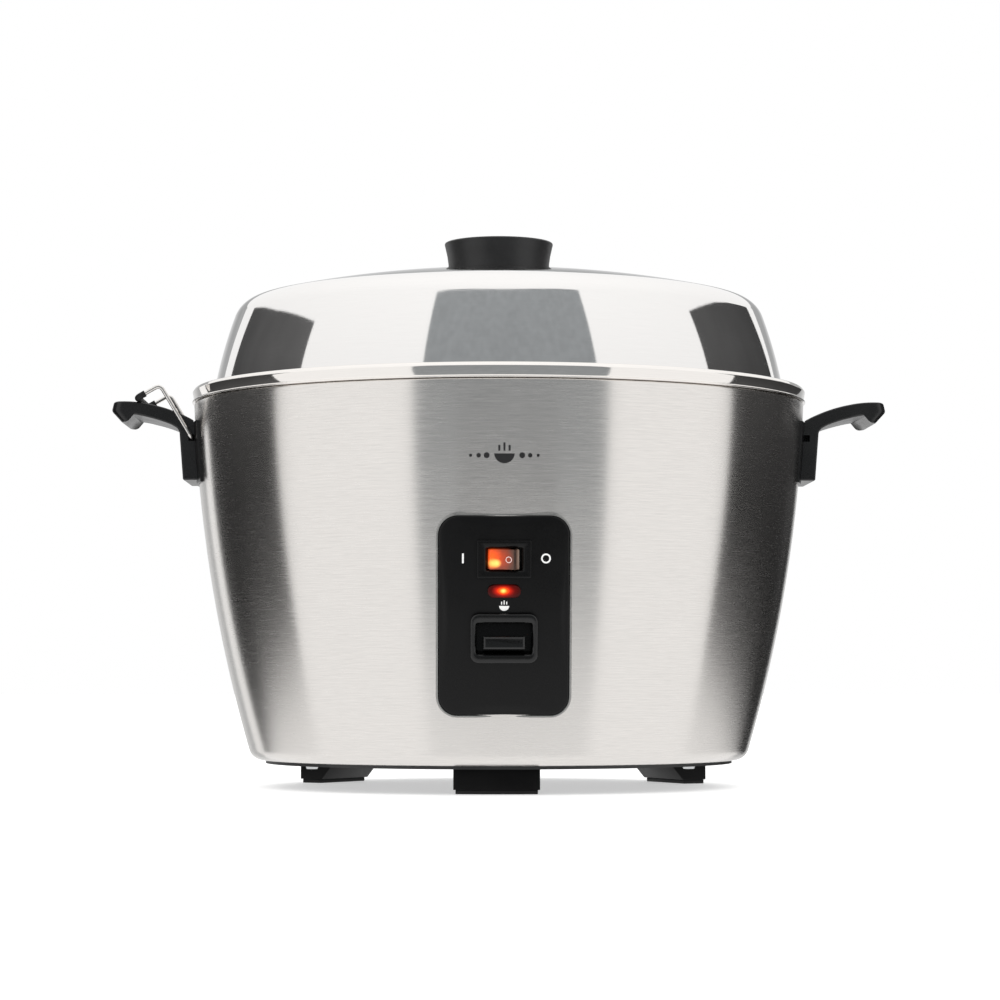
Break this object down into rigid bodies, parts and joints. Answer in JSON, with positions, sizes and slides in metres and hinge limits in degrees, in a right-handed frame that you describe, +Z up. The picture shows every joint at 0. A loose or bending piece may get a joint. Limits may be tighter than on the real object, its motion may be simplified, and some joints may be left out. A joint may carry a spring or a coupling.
{
  "type": "steam rice cooker",
  "caption": "Round steel steam rice cooker with a domed lid, side handles, a wire lid stand, and a front panel with a rocker switch, lamp and cook lever; a lidded inner pot inside.",
  "frame": {"origin": "on the table, under the middle of the round body", "axes": "+Z up through the lid's knob, +X towards the right-hand handle, -Y towards the front panel"},
  "size_m": [0.38, 0.304, 0.271],
  "materials": {
    "shell": "brushed round the body",
    "rim": "mirror polished",
    "pan": "satin",
    "base": "satin black",
    "foot": "moulded, fine texture",
    "pad": "matte",
    "fastener": "zinc plated",
    "handle": "moulded, satin",
    "wire": "polished wire",
    "sleeve": "matte",
    "panel": "satin to gloss",
    "trim": "satin silver",
    "marks": "pad printed",
    "emblem": "screen printed",
    "switch": "satin",
    "brass": "bare",
    "rocker": "translucent, lit from inside",
    "lens": "translucent, lit from inside",
    "lamp": "clear bulb",
    "key": "bevelled, glossy",
    "bracket": "pressed, zinc plated",
    "phenolic": "moulded phenolic",
    "nylon": "natural nylon",
    "plate": "cast",
    "element": "heat darkened sheath",
    "porcelain": "glazed",
    "mica": "mica and glass-fibre band",
    "lead": "silicone insulation",
    "lid": "mirror polished",
    "knob": "moulded, satin",
    "pot": "satin, brushed round",
    "pot_lid": "polished"
  },
  "bodies": {
    "body": {"outer_shell": "shell", "rim_band": "rim", "heating_pan": "pan", "base_cover": "base", "front_foot": "foot", "rear_foot_left": "foot", "rear_foot_right": "foot", "foot_pads": "pad", "foot_screws": "fastener", "base_screws": "fastener", "left_handle": "handle", "right_handle": "handle", "left_handle_spacer": "handle", "right_handle_spacer": "handle", "handle_screws": "fastener", "handle_nuts": "fastener", "control_panel": "panel", "panel_trim": "trim", "panel_marks": "marks", "shell_emblem": "emblem", "switch_housing": "switch", "switch_terminals": "brass", "indicator_lens": "lens", "indicator_lamp": "lamp", "lever_frame": "switch", "lever_pin": "fastener", "switch_bracket": "bracket", "contact_block": "phenolic", "contact_blades": "brass", "heating_plate": "plate", "heating_element": "element", "element_terminals": "porcelain", "clamp_plate": "bracket", "clamp_studs": "fastener", "clamp_nuts": "fastener", "thermostat": "switch", "thermal_fuse": "porcelain", "keep_warm_band": "mica", "terminal_block": "nylon", "lead_wires": "lead", "cord_bushing": "sleeve"},
    "lid": {"lid_dome": "lid", "lid_knob": "knob", "knob_washer": "sleeve", "knob_screw": "fastener"},
    "pot_cover": {"pot_lid": "pot_lid", "pot_lid_knob": "knob"},
    "pot": {"inner_pot": "pot"},
    "stand": {"stand_wire": "wire", "stand_sleeve": "sleeve"},
    "rocker": {"rocker_button": "rocker", "rocker_marks": "marks"},
    "lever": {"lever_key": "key", "lever_arm": "bracket", "lever_shield": "switch"},
    "plunger": {"switch_plunger": "nylon"}
  },
  "joints": [
    {"name": "lid_lift", "type": "slide", "parent": "body", "child": "lid", "axis": [0, 0, 1], "range_m": [0, 0.3]},
    {"name": "pot_cover_lift", "type": "slide", "parent": "body", "child": "pot_cover", "axis": [0, 0, 1], "range_m": [0, 0.216]},
    {"name": "pot_lift", "type": "slide", "parent": "body", "child": "pot", "axis": [0, 0, 1], "range_m": [0, 0.156]},
    {"name": "stand_swing", "type": "hinge", "parent": "body", "child": "stand", "pos_m": [-0.1506, 0, 0.1706], "axis": [0, 1, 0], "range_deg": [0, 22]},
    {"name": "rocker_tilt", "type": "hinge", "parent": "body", "child": "rocker", "pos_m": [0, -0.14221, 0.10724], "axis": [0, -0.1547, 0.988], "range_deg": [0, 17]},
    {"name": "lever_press", "type": "hinge", "parent": "body", "child": "lever", "pos_m": [0, -0.072, 0.034], "axis": [1, 0, 0], "range_deg": [-4.8, 0]},
    {"name": "plunger_slide", "type": "slide", "parent": "body", "child": "plunger", "axis": [0, 0, 1], "range_m": [-0.0012, 0]}
  ],
  "couplings": [
    {"joint": "pot_cover_lift", "follows": "lid_lift", "ratio": 0.7},
    {"joint": "pot_lift", "follows": "lid_lift", "ratio": 0.5},
    {"joint": "plunger_slide", "follows": "lever_press", "m_per_rad": 0.01}
  ]
}
